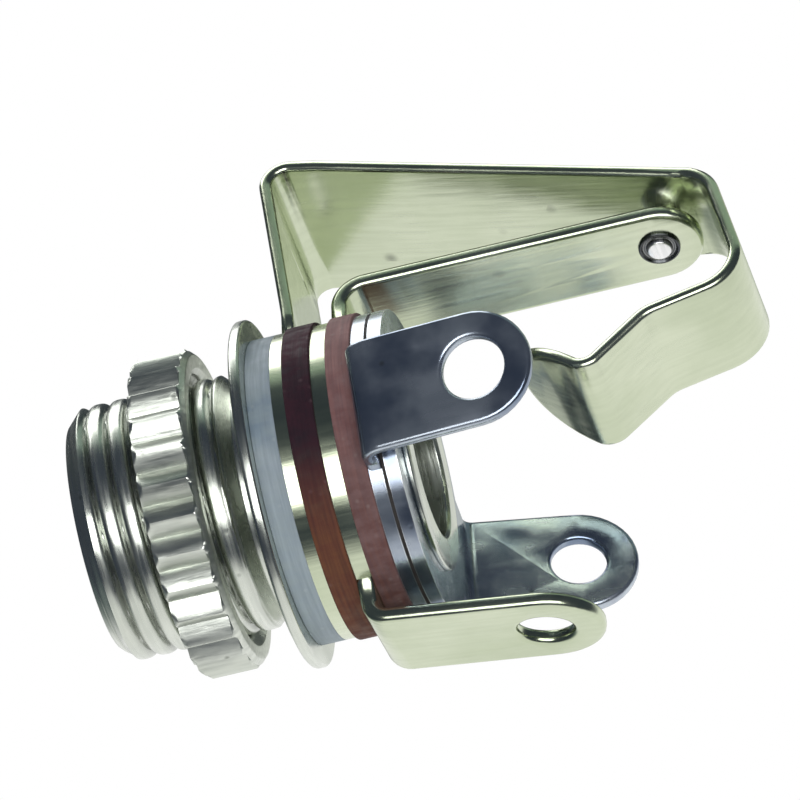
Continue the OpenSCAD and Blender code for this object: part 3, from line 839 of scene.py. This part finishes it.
def rivetOutline(v, top):
    # heights and radii from the button's middle, round the outside, to the crown's middle
    under, over, head, ring = v["under"], v["over"], v["head"], v["tailRing"]
    loop = roundLoop([
        (under - v["buttonDrop"], 0.0, 0), (under - v["buttonDrop"] + v["buttonDome"], v["button"], 0.03),
        (under - v["floorDrop"], v["button"] + v["buttonFlare"], 0.02),
        (under - v["floorDrop"], ring - v["ringFoot"], 0.02),
        (under - v["ringDrop"], ring - v["ringTop"], 0.02),
        (under - v["ringDrop"] + v["ringFall"], ring, 0.03), (under, ring, 0.02),
        (under, v["shank"], 0), (over, v["shank"], 0), (over, head, 0.03),
        (top - v["headSide"], head, 0.05), (top - v["crownRise"], head - v["crownIn"], 0.08),
        (top, 0.0, 0)], 3)
    loop = fillLoop(loop, lambda p, r: v["longest"])
    while loop[-2][1] == 0:  # no points along the axis itself
        loop.pop()
    return loop


def makeRivet(v):
    spots = [p.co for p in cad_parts["switch_contact"].data.vertices]
    top = max(p.z for p in spots) / mm
    cx = sum(p.x for p in spots) / len(spots) / mm
    loop = rivetOutline(v, top)
    bm = bmesh.new()
    columns = []
    for k in range(v["segments"]):
        a = 2 * math.pi * k / v["segments"]
        across, aside = math.cos(a), math.sin(a)
        columns.append([bm.verts.new(((cx + r * across) * mm, r * mm * aside, p * mm)) for p, r in loop])
    for k, here in enumerate(columns):
        there = columns[(k + 1) % v["segments"]]
        for i in range(len(loop) - 1):
            bm.faces.new((here[i], there[i], there[i + 1], here[i + 1]))
    bmesh.ops.remove_doubles(bm, verts=bm.verts, dist=softEdge["cutWeld"] * mm)
    obj = newObject("contactRivet", bm, silverButton)
    # the ring round the button is painted near black: painted shade in its recess
    shadedGroove = obj.data.attributes.new("grooveDepth", "FLOAT", "POINT")
    for i, p in enumerate(obj.data.vertices):
        r = math.hypot(p.co.x - cx * mm, p.co.y) / mm
        if p.co.z < (v["under"] + v["shadeAbove"]) * mm and r > v["button"] + v["shadeMargin"]:
            shadedGroove.data[i].value = 1.0
    finishMesh(obj, v["sharpAngle"])
    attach(obj, "socket")
    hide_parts("switch_contact")


makeRivet(rivet)
print("rivet made")


stage = {"drop": 0.25, "size": 1.2, "tone": 0.86}  # mm below the part, metres, grey


def makeFloor(v):
    # only the camera sees it, and only from above: the photograph looks up from below, at plain white
    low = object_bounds()[0]
    bm = bmesh.new()
    half = v["size"] / 2
    z = low[2] - v["drop"] * mm
    bm.faces.new([bm.verts.new((x * half, y * half, z)) for x, y in ((-1, -1), (1, -1), (1, 1), (-1, 1))])
    mesh = bpy.data.meshes.new("floor")
    bm.to_mesh(mesh)
    bm.free()
    obj = bpy.data.objects.new("floor", mesh)
    bpy.context.scene.collection.objects.link(obj)
    mat = bpy.data.materials.new("palePaper")
    mat.use_nodes = True
    tree = mat.node_tree
    tree.nodes.clear()
    out = addNode(tree, "ShaderNodeOutputMaterial", (600, 0))
    paper = addNode(tree, "ShaderNodeBsdfDiffuse", (0, 100))
    paper.inputs["Color"].default_value = rgba([v["tone"]] * 3)
    clear = addNode(tree, "ShaderNodeBsdfTransparent", (0, -100))
    path = addNode(tree, "ShaderNodeLightPath", (-500, 200))
    side = addNode(tree, "ShaderNodeNewGeometry", (-500, -200))
    front = calc(tree, "SUBTRACT", 1.0, side.outputs["Backfacing"], (-250, -200))
    seen = calc(tree, "MULTIPLY", path.outputs["Is Camera Ray"], front, (-100, 200))
    mix = addNode(tree, "ShaderNodeMixShader", (300, 0))
    feed(tree, mix.inputs[0], seen)
    feed(tree, mix.inputs[1], clear.outputs[0])
    feed(tree, mix.inputs[2], paper.outputs[0])
    feed(tree, out.inputs["Surface"], mix.outputs[0])
    obj.data.materials.append(mat)
    obj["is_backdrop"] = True


# what the metal reflects; the edges are in the direction's own x, y and z, from -1 to 1
light = {
    "paper": (1.0, 1.0, 1.0),  # the white side, behind and below the part
    "paperEdge": (-0.12, 0.22), "paperBend": 0.45,  # where it starts in y, and how far its sides draw back
    "paperHigh": (0.62, 0.66, 0.56),  # the same side, higher up
    "paperLeft": (0.13, 0.17, 0.17),  # and towards the plug's side
    "leftEdge": (0.45, 0.85),
    "room": (0.045, 0.055, 0.075),  # the dark side, before the part
    "roomHigh": (0.36, 0.46, 0.40),  # its paler upper part
    "highEdge": (0.63, 0.76),
    "zenith": (0.05, 0.06, 0.07),  # the dark ceiling
    "zenithEdge": (0.82, 0.91), "zenithLean": 0.35,  # its start in z, lower towards the plug's side
    "zenithRear": (-0.3, 0.3), "zenithRearDrop": 0.14,  # and lower behind the part
}


def makeWorld(v):
    # white paper behind the part, a dark room before it, as the metal in the photograph shows
    world = bpy.data.worlds.new("paperAndRoom")
    bpy.context.scene.world = world
    world.use_nodes = True
    tree = world.node_tree
    tree.nodes.clear()
    out = addNode(tree, "ShaderNodeOutputWorld", (900, 0))
    sky = addNode(tree, "ShaderNodeBackground", (650, 0))
    xyz = addNode(tree, "ShaderNodeSeparateXYZ", (-700, 0))
    feed(tree, xyz.inputs[0], addNode(tree, "ShaderNodeTexCoord", (-900, 0)).outputs["Generated"])
    x, y, z = xyz.outputs
    aside = calc(tree, "ABSOLUTE", x, None, (-600, 300))
    aside = calc(tree, "MULTIPLY", aside, v["paperBend"], (-450, 300))
    behind = softStep(tree, calc(tree, "SUBTRACT", y, aside, (-300, 300)), *v["paperEdge"], (-150, 300))
    high = softStep(tree, z, *v["highEdge"], (-450, -200))
    left = softStep(tree, calc(tree, "MULTIPLY", x, -1.0, (-600, -400)), *v["leftEdge"], (-450, -400))
    lean = calc(tree, "MULTIPLY", x, v["zenithLean"], (-900, -600))
    lean = calc(tree, "SUBTRACT", z, lean, (-750, -600))
    rear = softStep(tree, y, *v["zenithRear"], (-750, -800))
    rear = calc(tree, "MULTIPLY", rear, v["zenithRearDrop"], (-600, -800))
    zenith = softStep(tree, calc(tree, "ADD", lean, rear, (-600, -600)), *v["zenithEdge"], (-450, -600))
    room = mixColor(tree, high, rgba(v["room"]), rgba(v["roomHigh"]), (-200, -200))
    paper = mixColor(tree, high, rgba(v["paper"]), rgba(v["paperHigh"]), (-200, 0))
    paper = mixColor(tree, left, paper, rgba(v["paperLeft"]), (0, 0))
    color = mixColor(tree, behind, room, paper, (100, 0))
    color = mixColor(tree, zenith, color, rgba(v["zenith"]), (250, 0))
    path = addNode(tree, "ShaderNodeLightPath", (100, 350))
    color = mixColor(tree, path.outputs["Is Camera Ray"], color, (1, 1, 1, 1), (400, 0))
    feed(tree, sky.inputs["Color"], color)
    feed(tree, out.inputs["Surface"], sky.outputs[0])


# sizes and distances in mm, power in watts; the tilt is in degrees above the line of sight
nearLamp = {"tilt": 5.0, "distance": 1100.0, "height": 600.0, "length": 1100.0, "power": 9.0}
aboveLamp = {"towards": (-0.3, -0.2, 1), "distance": 400.0, "height": 300.0, "length": 300.0, "power": 0.8}


def makeLamp(name, towards, v):
    data = bpy.data.lights.new(name, "AREA")
    data.shape = "RECTANGLE"
    data.size, data.size_y = v["length"] * mm, v["height"] * mm
    data.energy = v["power"]
    lamp = bpy.data.objects.new(name, data)
    z = towards.normalized()
    x = (Vector((1, 0, 0)) - z * z.x).normalized()
    turn = Matrix((x, z.cross(x), z)).transposed().to_4x4()
    turn.translation = z * v["distance"] * mm
    lamp.matrix_world = turn
    bpy.context.scene.collection.objects.link(lamp)


makeFloor(stage)
makeWorld(light)
tilt = math.radians(nearLamp["tilt"])
makeLamp("lampNearCamera", back * math.cos(tilt) + up * math.sin(tilt), nearLamp)
makeLamp("lampAbove", Vector(aboveLamp["towards"]), aboveLamp)
bpy.context.scene.view_settings.view_transform = "Standard"
print("stage and light set")
